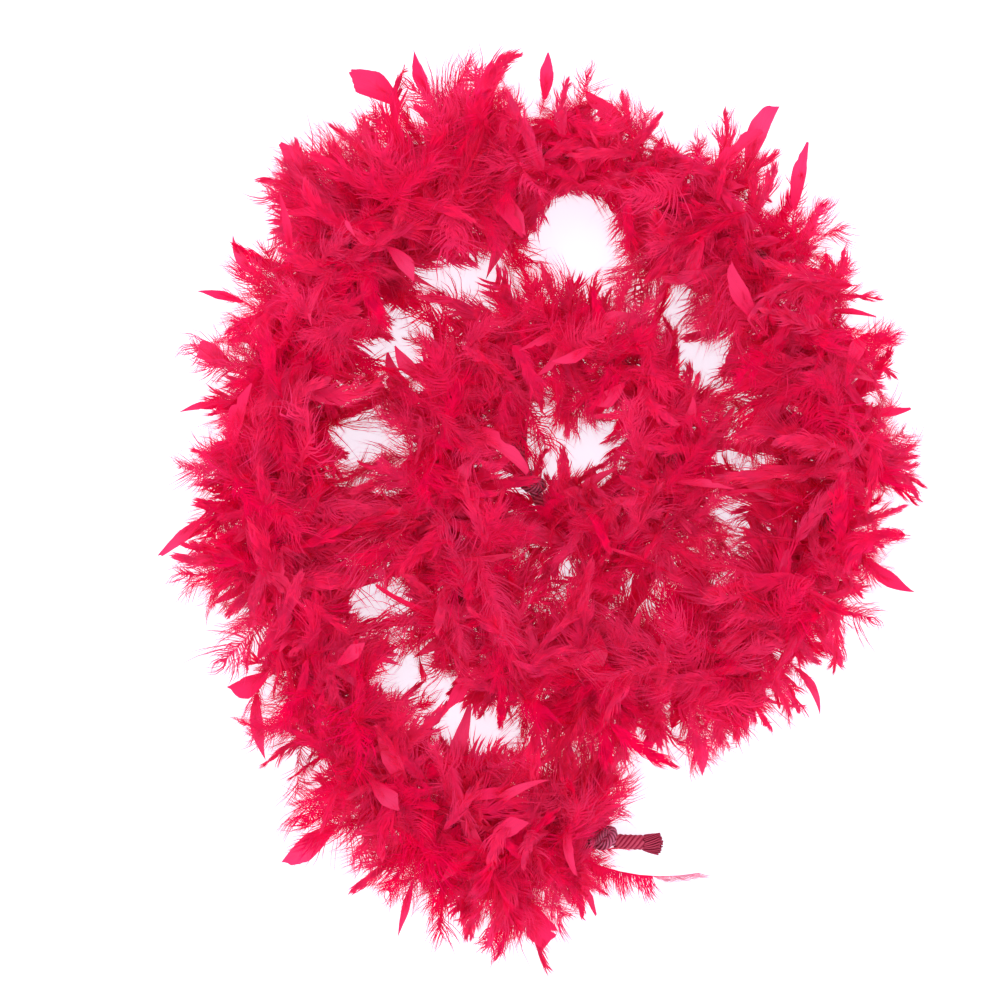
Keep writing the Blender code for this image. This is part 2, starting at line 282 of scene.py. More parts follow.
# The same yarn where a drop of clear glue holds the knot, with the same painted shade in the
# grooves and painted highlight on the crests.
glued = yarn_material("glued_knot_yarn", groove_shade="700a2e", light="c0507a", shine=0.4)


# ---- feather shapes, modelled once ----
class Shape:
    """Points, triangles, UV and material number of one feather."""

    def __init__(self, points, faces, uv, slots):
        self.points, self.faces, self.uv, self.slots = points, faces, uv, slots


def take_shape(item):
    """Reads a modelled object's points and triangles, then removes it."""
    work = bmesh.new()
    work.from_mesh(item.data)
    bmesh.ops.triangulate(work, faces=work.faces)
    work.verts.index_update()
    points = np.array([v.co for v in work.verts], float)
    faces = np.array([[v.index for v in f.verts] for f in work.faces], int)
    work.free()
    bpy.data.objects.remove(item, do_unlink=True)
    return points, faces


def deselect_all():
    """Leaves nothing selected for the next operator."""
    for item in bpy.context.selected_objects:
        item.select_set(False)


def model_grid(along, across):
    """A flat grid from x 0 to 1 and y -0.5 to 0.5."""
    deselect_all()
    bpy.ops.mesh.primitive_grid_add(x_subdivisions=along, y_subdivisions=across, size=1.0,
                                    location=(0.5, 0.0, 0.0))
    bpy.ops.object.transform_apply(location=True)
    return bpy.context.active_object


def model_barb():
    """One barb: a sliver from x 0 to 1, drawn to a point."""
    item = model_grid(3, 1)
    bpy.ops.object.mode_set(mode="EDIT")
    bpy.ops.mesh.select_all(action="DESELECT")
    bpy.ops.object.mode_set(mode="OBJECT")
    for vert in item.data.vertices:
        vert.select = vert.co.x > 0.99
    bpy.ops.object.mode_set(mode="EDIT")
    bpy.ops.mesh.merge(type="CENTER")
    bpy.ops.object.mode_set(mode="OBJECT")
    return take_shape(item)


barb_points, barb_faces = model_barb()
vane_points, vane_faces = take_shape(model_grid(12, 6))
quill_points, quill_faces = take_shape(model_grid(6, 1))


def joined(shapes):
    """Several shapes as one."""
    starts = np.cumsum([0] + [len(s.points) for s in shapes[:-1]])
    return Shape(np.vstack([s.points for s in shapes]),
                 np.vstack([s.faces + k for s, k in zip(shapes, starts)]),
                 np.vstack([s.uv for s in shapes]),
                 np.concatenate([s.slots for s in shapes]))


def one_barb(start, side, angle, length, width, sweep, lift):
    """A curved barb that leaves the quill at start to one side; lengths are shares of the
    feather's length.  It bends towards the tip by sweep and out of the plane by lift."""
    t = barb_points[:, 0]
    turn = angle - sweep * t
    x = start + length * t * np.cos(turn)
    y = side * length * t * np.sin(turn)
    thick = width * (1.0 - 0.5 * t) * barb_points[:, 1]
    points = np.stack([x - thick * np.sin(turn) * side, y + thick * np.cos(turn),
                       lift * length * t * t], 1)
    uv = np.stack([0.5 + 0.45 * side * t, 0.2 + 0.8 * (start * 0.35 + t * 0.65)], 1)
    return Shape(points, barb_faces, uv, np.zeros(len(barb_faces), int))


def quill(last, half):
    """The bare shaft, half as wide as given at its root and drawn thin towards last."""
    t, y = quill_points[:, 0], quill_points[:, 1]
    points = np.stack([last * t, 2 * half * (1.0 - 0.8 * t) * y, 0.0 * t], 1)
    uv = np.stack([0.5 + 0.1 * y, 0.05 + 0.5 * t], 1)
    return Shape(points, quill_faces, uv, np.zeros(len(quill_faces), int))


def barbs_along(rng, count, first, last, reach, angle, width, order, closing=0.5):
    """Barbs on both sides of the quill.  They cling together in locks; order is how
    evenly they lie, from 0 for loose down to 1 for a neat vane.  closing is how much
    nearer to the quill they point at the tip."""
    locks = 11
    loose = 1.0 - order
    bend = rng.normal(0.0, 0.30 * loose, (2, locks))
    lift = rng.normal(0.0, 0.10 + 0.45 * loose, (2, locks))
    sweep = rng.uniform(0.2, 0.3 + 0.7 * loose, (2, locks))
    size = rng.uniform(0.70 + 0.25 * order, 1.12, (2, locks))
    shapes = []
    for k in range(count):
        share = (k + rng.random()) / count
        row, lock = k % 2, min(int(share * locks), locks - 1)
        fan = (share * locks - lock - 0.5) * 0.35 * loose
        shapes.append(one_barb(
            start=first + (last - first) * share, side=1 - 2 * row,
            angle=angle * (1.15 - closing * share) + bend[row, lock] - fan
            + rng.normal(0.0, 0.12 * loose + 0.02),
            length=reach(share) * size[row, lock] * rng.uniform(0.55 + 0.35 * order, 1.08),
            width=width * rng.uniform(0.6, 1.4),
            sweep=sweep[row, lock], lift=lift[row, lock] + rng.normal(0.0, 0.10 * loose)))
    return shapes


def arch(height, first, span, power=1.0):
    """Barb length by place along the quill, an arch cut from a sine wave."""
    def reach(place):
        return height * math.sin(math.pi * (first + span * place)) ** power
    return reach


def down_feather(seed):
    """Marabou down: a thin quill thick with long soft barbs, no hooked vane."""
    rng = np.random.default_rng(seed)
    barbs = barbs_along(rng, 160, 0.04, 0.94, arch(0.42, 0.16, 0.62, 0.8),
                        angle=0.95, width=0.0092, order=0.0, closing=0.28)
    return joined([quill(0.90, 0.006), *barbs])


def soft_feather(seed):
    """Between down and vane: fine barbs side by side, edges frayed and cupped."""
    rng = np.random.default_rng(seed)
    barbs = barbs_along(rng, 160, 0.06, 0.95, arch(0.30, 0.12, 0.80, 0.7),
                        angle=0.62, width=0.0128, order=0.62)
    return joined([quill(0.95, 0.005), *barbs])


def matted_down(seed):
    """Down whose barbs have matted into broad locks; it closes the plumage from below."""
    rng = np.random.default_rng(seed)
    barbs = barbs_along(rng, 90, 0.06, 0.92, arch(0.36, 0.18, 0.60, 0.7),
                        angle=0.85, width=0.030, order=0.5, closing=0.3)
    return joined([quill(0.90, 0.006), *barbs])


WIDEST = 0.42            # share of a vane's length at which it is widest


def blade(rng, first, last, wide, slim, tip, fold, splits):
    """A hooked vane along the quill.  One half is slim; tip is its width share at the end,
    0 for a point; splits are the places where the barbs have parted."""
    t, y = vane_points[:, 0], 2 * vane_points[:, 1]
    past = np.clip(t - WIDEST, 0, 1) / (1.0 - WIDEST)
    profile = (np.sin(math.pi * np.clip(0.10 + 0.40 * t / WIDEST, 0, 0.5))
               * (1.0 - (1.0 - tip) * past ** 1.25))
    uneven = 1.0 + rng.normal(0.0, 0.03, len(t)) * (np.abs(y) > 0.9)
    half = wide * profile * np.where(y < 0, slim, 1.0) * uneven
    for place in splits:
        half = half * (1.0 - 0.35 * (np.abs(t - place) < 0.05) * (y > 0.6))
    x = first + (last - first) * t + 0.8 * half * np.abs(y) * (1.0 - t ** 3)
    x = x - 0.7 * half * y * t ** 8 * (tip > 0.2)      # broad tips were cut off aslant
    x = x + (t > 0.99) * rng.normal(0.0, 0.005, len(t))
    points = np.stack([x, half * y, fold * half * np.abs(y)], 1)
    uv = np.stack([0.5 + 0.46 * y, 0.12 + 0.80 * t], 1)
    return Shape(points, vane_faces, uv, np.ones(len(vane_faces), int))


def flat_feather(seed, wide, slim=0.6, tip=0.0, fold=0.3, splits=()):
    """A turkey flat: downy at the quill, then a smooth vane to the tip."""
    rng = np.random.default_rng(seed)
    hooked = blade(rng, 0.24, 0.98, wide, slim, tip, fold, splits)
    barbs = barbs_along(rng, 70, 0.03, 0.55, arch(0.26, 0.2, 0.6),
                        angle=0.9, width=0.008, order=0.1)
    return joined([quill(0.9, 0.006), hooked, *barbs])


# the seeds tell the feathers of a kind apart
downs = [down_feather(seed) for seed in range(8)]
softs = [soft_feather(seed) for seed in range(30, 36)]
flats = [flat_feather(50, 0.095, 0.6, 0.0, 0.3), flat_feather(51, 0.070, 0.8, 0.25, 0.6),
         flat_feather(52, 0.110, 0.5, 0.10, 0.2, (0.6,)), flat_feather(53, 0.055, 0.7, 0.0, 0.4),
         flat_feather(54, 0.085, 0.35, 0.35, 0.9, (0.45,))]
matted = [matted_down(seed) for seed in range(60, 64)]


# ---- laying a feather ----
SPINE_POINTS = 14        # points along a laid feather's quill
SOFT_FLOOR = 0.0030      # feathers spread over the table within this height
TABLE_GAP = 0.0004       # the lowest of them lie this far above it
TOP_LIMIT = 0.080        # nothing stands higher
TOP_PRESS = 0.012        # feathers are pressed flat over this height below the limit
SIDE_LIMITS = (-0.262, 0.257, -0.309, 0.309)     # x and y that no loose feather passes


def turned(vector, axis, angle):
    """Vector turned about a unit axis by angles, one row to each angle."""
    angle = np.asarray(angle)[:, None]
    return (vector * np.cos(angle) + np.cross(axis, vector) * np.sin(angle)
            + axis * (axis @ vector) * (1 - np.cos(angle)))


def unit(v):
    """Vectors of length 1, one row to each."""
    return v / np.linalg.norm(v, axis=-1, keepdims=True)


def lay(shape, root, way, flat, length, curl=0.0, hook=0.0, droop=0.0, roll=0.0, twist=0.0,
        fan=1.0, shade=0.5):
    """Puts a feather down: it leaves root along way, its face lies towards flat turned by
    roll, it curls off its face, hooks sideways and droops.  Returns its points and UV."""
    side = unit(np.cross(flat, way))
    normal = np.cross(way, side)
    side, normal = (side * math.cos(roll) + normal * math.sin(roll),
                    normal * math.cos(roll) - side * math.sin(roll))
    t = np.linspace(0, 1, SPINE_POINTS)
    axis = side * curl + normal * hook
    bend = max(float(np.linalg.norm(axis)), 1e-6)
    ways = turned(way, axis / bend, bend * t)
    ways = unit(ways - UP * (droop * t ** 1.4)[:, None])
    sides = unit(side - ways * (ways @ side)[:, None])
    normals = np.cross(ways, sides)
    c, s = np.cos(twist * t)[:, None], np.sin(twist * t)[:, None]
    sides, normals = sides * c + normals * s, normals * c - sides * s
    spine = root + np.vstack([[0, 0, 0], np.cumsum((ways[1:] + ways[:-1]) / 2, axis=0)]) * (
        length / (SPINE_POINTS - 1))
    x = shape.points[:, 0]
    spine, sides, normals = [np.stack([np.interp(x, t, rows[:, k]) for k in range(3)], 1)
                             for rows in (spine, sides, normals)]
    past = np.clip(x - 1.0, 0, None)[:, None] * length * ways[-1]
    points = (spine + past + sides * shape.points[:, 1:2] * length * fan
              + normals * shape.points[:, 2:3] * length * fan)
    band = min(int(shade * TONES), TONES - 1)
    uv = shape.uv.copy()
    uv[:, 0] = (band + 0.02 + 0.96 * np.clip(uv[:, 0], 0, 1)) / TONES
    return settle(points), uv


def settle(points):
    """Feathers lie on the table and are pressed flat at the top of the pile."""
    z = SOFT_FLOOR * np.logaddexp(0.0, points[:, 2] / SOFT_FLOOR) + TABLE_GAP
    over = np.clip(z - TOP_LIMIT + TOP_PRESS, 0, None)
    points[:, 2] = z - over + TOP_PRESS * (1 - np.exp(-over / TOP_PRESS))
    return points


def inside(points):
    """Whether all of a feather lies within the side limits."""
    low, high = points.min(axis=0), points.max(axis=0)
    return (low[0] > SIDE_LIMITS[0] and high[0] < SIDE_LIMITS[1]
            and low[1] > SIDE_LIMITS[2] and high[1] < SIDE_LIMITS[3])


class Pile:
    """Feathers or strands gathered into one mesh."""

    def __init__(self):
        self.points, self.uv, self.faces, self.slots, self.count = [], [], [], [], 0

    def add(self, points, faces, uv, slots):
        self.points.append(points)
        self.uv.append(uv)
        self.faces.append(faces + self.count)
        self.slots.append(slots)
        self.count += len(points)

    def mesh(self, name, materials):
        """Makes the object, with its UV map and its materials by number."""
        points, faces = np.vstack(self.points), np.vstack(self.faces)
        uv, slots = np.vstack(self.uv), np.concatenate(self.slots)
        mesh = bpy.data.meshes.new(name)
        mesh.vertices.add(len(points))
        mesh.vertices.foreach_set("co", points.astype(np.float32).ravel())
        mesh.loops.add(faces.size)
        mesh.loops.foreach_set("vertex_index", faces.astype(np.int32).ravel())
        mesh.polygons.add(len(faces))
        mesh.polygons.foreach_set("loop_start", np.arange(0, faces.size, 3, dtype=np.int32))
        for material in materials:
            mesh.materials.append(material)
        mesh.polygons.foreach_set("material_index", slots.astype(np.int32))
        mesh.polygons.foreach_set("use_smooth", np.ones(len(faces), bool))
        layer = mesh.uv_layers.new(name=UV_MAP)
        layer.uv.foreach_set("vector", uv[faces.ravel()].astype(np.float32).ravel())
        mesh.update(calc_edges=True)
        mesh.validate()
        item = bpy.data.objects.new(name, mesh)
        bpy.context.scene.collection.objects.link(item)
        return item


# ---- plumage ----
FEATHERS_PER_METRE = 1180
FLAT_SHARE, SOFT_SHARE = 0.07, 0.40        # kinds of feather; the rest is down
MATTED_SHARE, FLOPPED_SHARE = 0.24, 0.46   # ways to lie; the rest stands out from the cord
MATTED_MARGIN = 0.003    # the matted down ends this far short of a clearing
TRIALS, SHRINK = 8, 0.93                   # a feather is laid this often, each time shorter
CLEARING_SHARE = 0.03    # no more of a feather than this lies over a clearing

# How far the feathers reach in millimetres at each border between plumes, towards the
# spiral's outside and towards its middle.
REACH_OUT = [58, 62, 68, 72, 74, 74, 70, 60, 55, 56, 48, 56, 49, 40, 88, 82, 72, 66, 68, 57,
             54, 58, 77, 68, 76, 42]
REACH_IN = [62, 62, 62, 62, 64, 66, 74, 82, 82, 82, 80, 78, 78, 74, 82, 82, 82, 84, 84, 84,
            80, 80, 78, 78, 82, 80]
# Bunches that stand out: border number, heading low and high in radians from the way the
# cord runs towards the spiral's outside, count, length.
TUFTS = [(15.0, 1.2, 1.6, 18, 0.084), (14.7, 1.3, 1.9, 8, 0.074), (12.0, 1.3, 2.0, 6, 0.068),
         (8.0, 1.9, 2.4, 12, 0.062), (13.9, 1.1, 1.6, 10, 0.078), (23.8, 1.2, 1.6, 12, 0.078),
         (5.0, 1.2, 2.0, 10, 0.070), (18.2, 1.4, 1.8, 8, 0.070), (12.0, -1.9, -1.2, 14, 0.074),
         (9.8, 1.4, 1.9, 8, 0.062)]


def reach_at(s, outward):
    """Length of the feathers at distance s; outward runs from -1, inwards, to 1."""
    sides = [float(np.interp(s, borders, table)) for table in (REACH_OUT, REACH_IN)]
    share = 0.5 + 0.5 * outward
    return 0.001 * (sides[0] * share + sides[1] * (1.0 - share))


# Where the plumage parts: centre, radius, and the height above which no feather lies.  The
# table shows in most; by the two knots the feathers part over the cord.
CLEARINGS = [
    (0.026, 0.172, 0.024, 0.0), (-0.062, 0.146, 0.007, 0.0), (-0.106, 0.099, 0.003, 0.0),
    (-0.114, 0.037, 0.011, 0.0), (-0.107, -0.068, 0.010, 0.0), (-0.091, -0.117, 0.009, 0.0),
    (-0.043, -0.150, 0.006, 0.0), (-0.010, 0.030, 0.004, 0.0), (0.030, 0.023, 0.005, 0.0),
    (0.090, 0.120, 0.006, 0.0), (0.102, 0.096, 0.007, 0.0), (0.112, 0.080, 0.005, 0.0),
    (0.122, -0.008, 0.006, 0.0), (0.129, 0.030, 0.004, 0.0),
    (0.041, -0.2205, 0.008, 0.014), (0.000, 0.003, 0.008, 0.014),
]


def in_clearing(points, margin=0.0):
    """Share of the points that lie over a clearing or within margin of it."""
    over = np.zeros(len(points), bool)
    for x, y, radius, height in CLEARINGS:
        near = np.hypot(points[:, 0] - x, points[:, 1] - y) < radius + margin
        over |= near & (points[:, 2] > height)
    return over.mean()


def pick_shape(rng):
    """A flat feather, a soft one or down, drawn by their shares."""
    draw = rng.random()
    kinds = flats if draw < FLAT_SHARE else softs if draw < FLAT_SHARE + SOFT_SHARE else downs
    return kinds[rng.integers(len(kinds))]


def lay_clear(pile, shape, root, way, size, pose, rng, margin=0.0):
    """Lays a feather, shorter if it would pass the limits; none over a clearing."""
    for trial in range(TRIALS):
        points, uv = lay(shape, root, way, UP, size, **pose)
        # every fifth point is enough to tell
        if inside(points) and in_clearing(points[::5], margin) < CLEARING_SHARE:
            pile.add(points, shape.faces, uv, shape.slots)
            return
        size *= SHRINK
        pose["hook"] = rng.normal(0.0, 1.0)


def risen(plan_way, rise):
    """A direction over the table turned up by an angle."""
    return unit(plan_way * math.cos(rise) + UP * math.sin(rise))


def any_heading(along, out, rng):
    """A heading drawn all round: how far it points outwards, and its direction."""
    heading = rng.uniform(0, 2 * math.pi)
    return math.cos(heading), out * math.cos(heading) + along * math.sin(heading)


# The three ways in which a feather lies.  Each gives its shape, root, direction, size, droop.
def matted_below(s, along, out, rng):
    """Matted down under the cord, pointing down to the table."""
    outward, plan_way = any_heading(along, out, rng)
    way = risen(plan_way, rng.uniform(-0.45, -0.1))
    size = reach_at(s, outward) * rng.uniform(0.50, 0.80)
    root = cord_at(s) - UP * rng.uniform(0.004, 0.016)
    return matted[rng.integers(len(matted))], root, way, size, 0.1


def flopped_back(s, along, out, rng):
    """A feather that has flopped back across the cord."""
    outward, plan_way = any_heading(along, out, rng)
    way = risen(plan_way, rng.uniform(-0.15, 0.45))
    size = reach_at(s, outward) * rng.uniform(0.45, 0.90)
    root = (cord_at(s) + out * rng.normal(0.0, 0.013) + UP * rng.uniform(0.006, 0.026)
            - plan_way * size * 0.25)
    droop = rng.uniform(0.2, 1.0)
    return pick_shape(rng), root, way, size, droop


def standing_out(s, along, out, rng):
    """A feather whose quill stands in the cord; the steeper, the more it swings and droops."""
    rise = 1.35 * rng.beta(1.1, 1.5) - 0.30
    swing = rng.normal(0.0, 0.50 + 0.60 * max(rise, 0.0))
    side = rng.choice([-1, 1])
    way = risen(side * (out * math.cos(swing) + along * math.sin(swing)), rise)
    size = reach_at(s, side * math.cos(swing)) * rng.uniform(0.62, 1.12)
    root = cord_at(s) + way * CORD_DIAMETER * 0.35
    droop = rng.uniform(0.1, 0.6) + 1.5 * max(rise, 0.0)
    return pick_shape(rng), root, way, size, droop


def fill_plume(pile, first, last, rng):
    """Feathers all round the cord between two distances along it."""
    count = round((last - first) * FEATHERS_PER_METRE)
    for k in range(count):
        s = first + (last - first) * (k + rng.random()) / count
        along, out = cord_frame(s)[:2]
        draw = rng.random()
        way_to_lie = (matted_below if draw < MATTED_SHARE else
                      flopped_back if draw < MATTED_SHARE + FLOPPED_SHARE else standing_out)
        shape, root, way, size, droop = way_to_lie(s, along, out, rng)
        pose = dict(curl=rng.normal(0.0, 0.5), hook=rng.normal(0.0, 0.6), droop=droop,
                    roll=rng.normal(0.0, 0.5), twist=rng.normal(0.0, 0.7),
                    fan=rng.uniform(0.85, 1.25), shade=rng.random())
        margin = MATTED_MARGIN if way_to_lie is matted_below else 0.0
        lay_clear(pile, shape, root, way, size, pose, rng, margin)


def add_tuft(pile, s, low, high, count, length, rng):
    """A bunch of feathers from one place; low and high bound their heading, in radians from
    the way the cord runs towards the spiral's outside."""
    along, out = cord_frame(s)[:2]
    for k in range(count):
        heading, rise = rng.uniform(low, high), rng.uniform(0.0, 0.8)
        way = risen(along * math.cos(heading) + out * math.sin(heading), rise)
        root = cord_at(s + rng.normal(0.0, 0.008)) + UP * rng.uniform(0.0, 0.010)
        pose = dict(curl=rng.normal(0.0, 0.5), hook=rng.normal(0.0, 0.5),
                    droop=rng.uniform(0.1, 0.5) + 1.2 * rise, roll=rng.normal(0.0, 0.5),
                    twist=rng.normal(0.0, 0.6), fan=rng.uniform(0.9, 1.2), shade=rng.random())
        lay_clear(pile, pick_shape(rng), root, way, length * rng.uniform(0.6, 1.05), pose, rng)


def bent_length(root, tip, hook):
    """Length of a feather that bends by the angle hook between two points."""
    return math.dist(root, tip) * (1.0 + hook * hook / 24)


def place_shape(pile, shape, root, tip, hook, shade):
    """A feather laid from root to tip, bent sideways by hook."""
    back = turned(unit(np.subtract(tip, root)), UP, [-hook / 2])[0]
    length = bent_length(root, tip, hook) / 1.02     # its last barbs pass the quill's end
    points, uv = lay(shape, np.array(root), back, UP, length, hook=hook, shade=shade)
    pile.add(points, shape.faces, uv, shape.slots)


def place_single(pile, root, tip, wide, hook, end, fold, splits, seed, shade):
    """A flat feather laid at a given place; wide is half its width in metres."""
    wide = wide / bent_length(root, tip, hook)
    shape = flat_feather(seed, wide, tip=end, fold=fold, splits=splits)
    place_shape(pile, shape, root, tip, hook, shade)


# Single feathers that stand out from the plumage, after their CAD numbers:
# root, tip, half width, sideways bend, width share left at the tip, fold, splits.
SINGLES = {
    1: ((0.013, 0.118, 0.034), (0.002, 0.157, 0.022), 0.0040, 0.3, 0.0, 0.5, ()),
    2: ((-0.064, 0.070, 0.040), (-0.092, 0.100, 0.036), 0.0060, -0.5, 0.1, 0.4, ()),
    3: ((-0.030, -0.105, 0.040), (-0.060, -0.139, 0.034), 0.0060, 0.6, 0.0, 0.4, ()),
    4: ((0.050, -0.118, 0.052), (0.040, -0.083, 0.044), 0.0070, -0.7, 0.0, 0.4, ()),
    5: ((0.158, -0.102, 0.040), (0.187, -0.141, 0.016), 0.0036, -0.8, 0.0, 0.5, ()),
    6: ((0.204, -0.026, 0.040), (0.247, -0.062, 0.022), 0.0065, 0.9, 0.0, 0.5, ()),
    7: ((0.163, 0.170, 0.048), (0.175, 0.232, 0.040), 0.0062, -0.15, 0.15, 0.2, ()),
    8: ((0.134, 0.200, 0.040), (0.155, 0.256, 0.030), 0.0085, -0.5, 0.55, 0.3, ()),
    9: ((0.070, 0.224, 0.044), (0.030, 0.263, 0.036), 0.0080, 0.2, 0.3, 0.8, (0.35, 0.6)),
    10: ((0.147, 0.103, 0.060), (0.121, 0.150, 0.066), 0.0075, -0.35, 0.35, 0.3, ()),
    11: ((-0.020, 0.205, 0.052), (-0.006, 0.167, 0.044), 0.0060, 0.7, 0.0, 0.4, ()),
    12: ((-0.062, 0.245, 0.036), (-0.080, 0.293, 0.024), 0.0055, -0.3, 0.0, 0.4, ()),
    13: ((-0.140, 0.196, 0.036), (-0.167, 0.232, 0.026), 0.0080, 0.6, 0.2, 0.5, ()),
    14: ((-0.102, 0.165, 0.058), (-0.078, 0.138, 0.050), 0.0065, -0.6, 0.1, 0.3, ()),
    15: ((-0.180, 0.122, 0.036), (-0.222, 0.136, 0.022), 0.0040, 0.5, 0.0, 0.5, ()),
    16: ((0.112, 0.172, 0.056), (0.094, 0.138, 0.046), 0.0060, 0.5, 0.0, 0.4, ()),
    17: ((-0.205, -0.006, 0.032), (-0.247, -0.038, 0.018), 0.0048, 0.25, 0.35, 0.3, ()),
    18: ((-0.165, -0.105, 0.044), (-0.199, -0.124, 0.028), 0.0085, -0.5, 0.45, 0.6, ()),
    19: ((-0.134, -0.108, 0.058), (-0.108, -0.090, 0.052), 0.0060, 0.6, 0.0, 0.3, ()),
    20: ((-0.118, -0.204, 0.038), (-0.165, -0.238, 0.020), 0.0095, 0.3, 0.40, 0.3, ()),
    21: ((-0.004, -0.250, 0.042), (0.006, -0.291, 0.030), 0.0130, 0.4, 0.25, 0.3, (0.5,)),
}
# More of them that lie in the plumage pieces: plume number, then as above.
STRAYS = [
    (15, (-0.080, 0.243, 0.040), (-0.122, 0.279, 0.026), 0.0125, 0.5, 0.15, 0.7, ()),
    (16, (-0.166, 0.140, 0.038), (-0.198, 0.172, 0.022), 0.0040, -1.3, 0.0, 0.4, ()),
    (17, (-0.196, 0.062, 0.036), (-0.234, 0.057, 0.018), 0.0030, 0.5, 0.0, 0.4, ()),
    (17, (-0.190, 0.086, 0.040), (-0.217, 0.103, 0.028), 0.0085, -0.6, 0.2, 0.9, ()),
    (19, (-0.160, -0.066, 0.052), (-0.186, -0.084, 0.040), 0.0070, 1.3, 0.0, 0.5, ()),
    (20, (-0.176, -0.112, 0.036), (-0.177, -0.172, 0.016), 0.0060, 0.8, 0.0, 0.4, ()),
    (23, (-0.076, -0.236, 0.034), (-0.091, -0.288, 0.014), 0.0034, 0.15, 0.0, 0.4, ()),
    (7, (0.098, -0.142, 0.034), (0.109, -0.182, 0.018), 0.0055, -0.3, 0.0, 0.4, ()),
    (14, (0.002, 0.246, 0.044), (0.008, 0.290, 0.032), 0.0060, 0.4, 0.1, 0.3, ()),
    (9, (0.170, -0.050, 0.060), (0.196, -0.078, 0.052), 0.0070, 0.7, 0.1, 0.3, ()),
    (11, (0.196, 0.070, 0.060), (0.214, 0.108, 0.050), 0.0065, -0.6, 0.0, 0.3, ()),
    (5, (-0.062, 0.000, 0.058), (-0.040, 0.028, 0.050), 0.0060, 0.7, 0.0, 0.3, ()),
    (3, (0.060, 0.080, 0.058), (0.034, 0.060, 0.050), 0.0065, -0.7, 0.1, 0.3, ()),
    (7, (0.020, -0.116, 0.056), (0.046, -0.096, 0.050), 0.0080, 0.5, 0.2, 0.3, ()),
    (1, (0.034, -0.022, 0.050), (0.056, 0.004, 0.044), 0.0060, 0.7, 0.0, 0.3, ()),
    (22, (-0.108, -0.170, 0.058), (-0.086, -0.200, 0.054), 0.0080, 0.6, 0.0, 0.3, ()),
    (24, (-0.036, -0.222, 0.058), (-0.004, -0.206, 0.052), 0.0075, -0.5, 0.1, 0.3, ()),
]


# The worn feather by the outer knot: root, tip and sideways bend; where its down bunches;
# where the down ends; and how many barbs it has.
WORN_PLACE = ((0.030, -0.234, 0.020), (0.110, -0.245, 0.009), 0.65)
WORN_BUNCHES = (0.16, 0.34, 0.52)
WORN_DOWN_END = 0.60
WORN_BARBS = 300
# The down by each knot leans out over it: plume, distance, then as for TUFTS.
KNOT_TUFTS = [(1, PLUMES_START + 0.008, 1.8, 4.4, 34, 0.062),
              (25, PLUMES_END - 0.012, -1.8, -0.55, 46, 0.070),
              (25, PLUMES_END - 0.012, 1.1, 1.7, 10, 0.054)]
# Seeds of the plumes, their tufts, the feathers laid one by one and the worn one.
PLUME_SEED, TUFT_SEED, STRAY_SEED, SINGLE_SEED, WORN_SEED = 100, 400, 200, 300, 240


def worn_feather():
    """Barbs on one side of the quill only: bunches of down, then a sparse pale vane."""
    rng = np.random.default_rng(WORN_SEED)
    shapes = [quill(0.98, 0.004)]
    for k in range(WORN_BARBS):
        start = 0.10 + 0.88 * (k + rng.random()) / WORN_BARBS
        bunch = max(math.exp(-((start - place) / 0.07) ** 2) for place in WORN_BUNCHES)
        if start < WORN_DOWN_END:
            angle, length, width, slot = rng.normal(1.35, 0.16), 0.05 + 0.24 * bunch, 0.0062, 0
        else:
            angle, length, width, slot = rng.normal(0.60, 0.06), 0.15, 0.0022, 2
        barb = one_barb(start=start, side=-1, angle=angle, length=length * rng.uniform(0.7, 1.1),
                        width=width, sweep=0.2, lift=rng.normal(0.0, 0.1))
        barb.slots[:] = slot
        shapes.append(barb)
    return joined(shapes)


def border_place(number):
    """Distance along the cord at a border between plumes, or at a share between two."""
    return float(np.interp(number, range(len(borders)), borders))


def make_plume(index, first, last):
    """One length of plumage: its feathers, those laid one by one and its bunches."""
    pile = Pile()
    fill_plume(pile, first, last, np.random.default_rng(PLUME_SEED + index))
    for number, (plume, *stray) in enumerate(STRAYS):
        if plume == index:
            place_single(pile, *stray, seed=STRAY_SEED + number, shade=0.5 + 0.5 * (number % 2))
    rng = np.random.default_rng(TUFT_SEED + index)
    for border, *tuft in TUFTS:
        if first <= border_place(border) < last:
            add_tuft(pile, border_place(border), *tuft, rng)
    for plume, *tuft in KNOT_TUFTS:
        if plume == index:
            add_tuft(pile, *tuft, rng)
    if last == PLUMES_END:
        place_shape(pile, worn_feather(), *WORN_PLACE, shade=0.3)
    return pile.mesh(f"plumage_{index:02d}", [down, vane, worn])


def nearest_bend(first, last):
    """The tail bend next to a length of the boa, or None."""
    for k, s in enumerate(bends):
        if min(abs(s - first), abs(s - last)) < 0.001:
            return k
    return None


def settle_on(item, first, last):
    """Rides an item on its body, or leaves it on no body, its transform baked, where it touches
    a tail bend.
    """
    k = nearest_bend(first, last)
    if k is None:
        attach(item, "tip" if first > bends[-1] else "coil")
    else:
        blend_over(item)


def blend_over(item):
    """Leaves an item at a tail bend on no body, its transform baked into its mesh."""
    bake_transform(item)


for index, (first, last) in enumerate(zip(borders, borders[1:]), start=1):
    plume = make_plume(index, first, last)
    settle_on(plume, first, last)
    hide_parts(f"plume_{index:02d}")

# the bodies of those that stand on the tail; the others ride on the coil
SINGLE_BODIES = {17: "tail_1", 18: "tail_2", 19: "tail_2", 20: "tail_3", 21: "tip"}
for number, single in SINGLES.items():
    pile = Pile()
    place_single(pile, *single, seed=SINGLE_SEED + number,
                 shade=0.35 + 0.6 * (number % 3) / 2)
    item = pile.mesh(f"single_feather_{number:02d}", [down, vane])
    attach(item, SINGLE_BODIES.get(number, "coil"))
    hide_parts(f"feather_{number:02d}")


